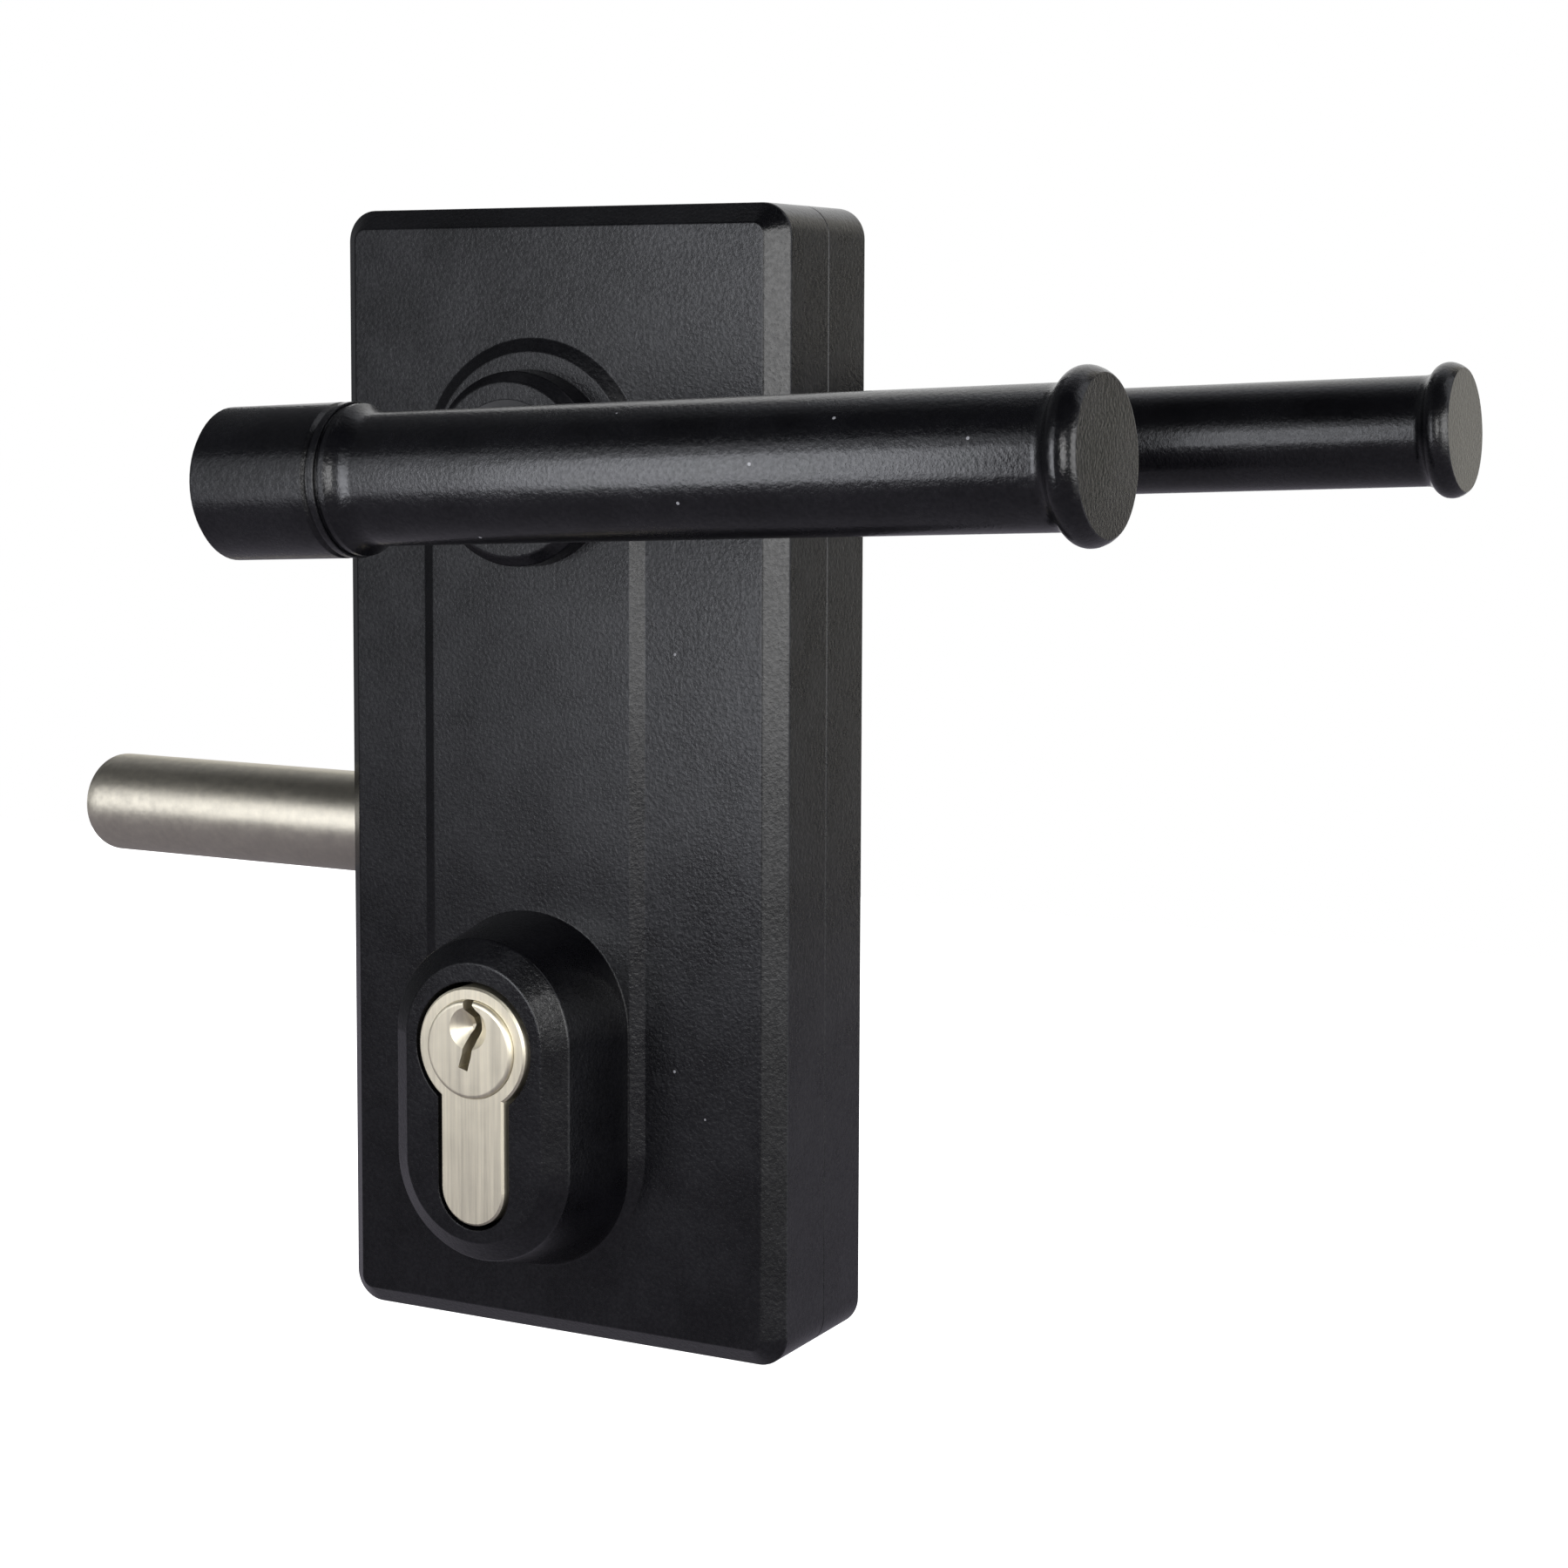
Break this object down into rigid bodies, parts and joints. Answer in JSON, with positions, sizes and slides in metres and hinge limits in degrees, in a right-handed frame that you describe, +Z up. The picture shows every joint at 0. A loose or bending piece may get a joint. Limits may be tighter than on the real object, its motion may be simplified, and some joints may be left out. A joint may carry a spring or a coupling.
{
  "type": "gate lock",
  "caption": "Surface gate lock in a black bevelled case with a long round latch bolt, a lever handle on each side and a guarded profile cylinder.",
  "frame": {"origin": "centre of the flat stile face, midway between the two fixing holes", "axes": "+X from the stile face towards the lever ends, -Y to the front (the side in the picture), +Z up"},
  "size_m": [0.1941, 0.1584, 0.158],
  "materials": {
    "black_coat": "satin black powder coat",
    "black_lever": "satin black powder coat, slightly glossier",
    "black_steel": "black oxide",
    "stainless": "brushed",
    "zinc_steel": "zinc plated",
    "spring_steel": "drawn wire",
    "bush_polymer": "black acetal",
    "nickel": "satin nickel plate",
    "nickel_plug": "satin nickel plate",
    "brass": "turned"
  },
  "bodies": {
    "case": {"front_case": "black_coat", "rear_case": "black_coat", "case_screws": "black_steel", "fixing_nuts": "zinc_steel", "bolt_sleeve": "bush_polymer", "front_neck_bush": "bush_polymer", "rear_neck_bush": "bush_polymer", "rocker_pin": "zinc_steel", "spring_guide": "zinc_steel", "bolt_spring": "spring_steel", "handle_spring": "spring_steel", "cylinder_body": "nickel", "driver_pins": "brass", "plug_clips": "spring_steel", "cylinder_screw": "zinc_steel"},
    "handle": {"spindle": "zinc_steel", "follower": "zinc_steel", "front_lever": "black_lever", "rear_lever": "black_lever", "lever_grub_screws": "black_steel"},
    "rocker": {"rocker": "zinc_steel", "drive_pin": "zinc_steel"},
    "bolt": {"latch_bolt": "stainless", "bolt_carriage": "zinc_steel", "carriage_pin": "zinc_steel"},
    "front_key": {"front_plug": "nickel_plug", "front_key_pins": "brass"},
    "rear_key": {"rear_plug": "nickel_plug", "rear_key_pins": "brass"},
    "cam": {"cylinder_cam": "zinc_steel"},
    "deadlock": {"deadlock_slide": "zinc_steel"}
  },
  "joints": [
    {"name": "handle_turn", "type": "hinge", "parent": "case", "child": "handle", "pos_m": [0.0322, 0, 0.0432], "axis": [0, 1, 0], "range_deg": [0, 45], "stiffness_Nm_per_rad": 1.2, "springref_deg": -25.78, "deforming": ["handle_spring"]},
    {"name": "rocker_swing", "type": "hinge", "parent": "case", "child": "rocker", "pos_m": [0.0322, 0, 0.0122], "axis": [0, 1, 0], "range_deg": [-36.5, 0]},
    {"name": "bolt_draw", "type": "slide", "parent": "case", "child": "bolt", "axis": [1, 0, 0], "range_m": [0, 0.01448], "deforming": ["bolt_spring"]},
    {"name": "key_turn", "type": "hinge", "parent": "case", "child": "front_key", "pos_m": [0.0322, -0.017, -0.0351], "axis": [0, -1, 0], "range_deg": [0, 120]},
    {"name": "cam_turn", "type": "hinge", "parent": "case", "child": "cam", "pos_m": [0.0322, 0, -0.0351], "axis": [0, -1, 0], "range_deg": [0, 120]},
    {"name": "deadlock_lift", "type": "slide", "parent": "case", "child": "deadlock", "axis": [0, 0, 1], "range_m": [0, 0.0071]},
    {"name": "rear_key_turn", "type": "hinge", "parent": "case", "child": "rear_key", "pos_m": [0.0322, 0.017, -0.0351], "axis": [0, -1, 0], "range_deg": [0, 120]}
  ],
  "couplings": [
    {"joint": "rocker_swing", "follows": "handle_turn", "ratio": -0.8},
    {"joint": "bolt_draw", "follows": "handle_turn", "m_per_rad": 0.018311},
    {"joint": "cam_turn", "follows": "key_turn", "ratio": 1},
    {"joint": "deadlock_lift", "follows": "key_turn", "m_per_rad": 0.0033423}
  ]
}
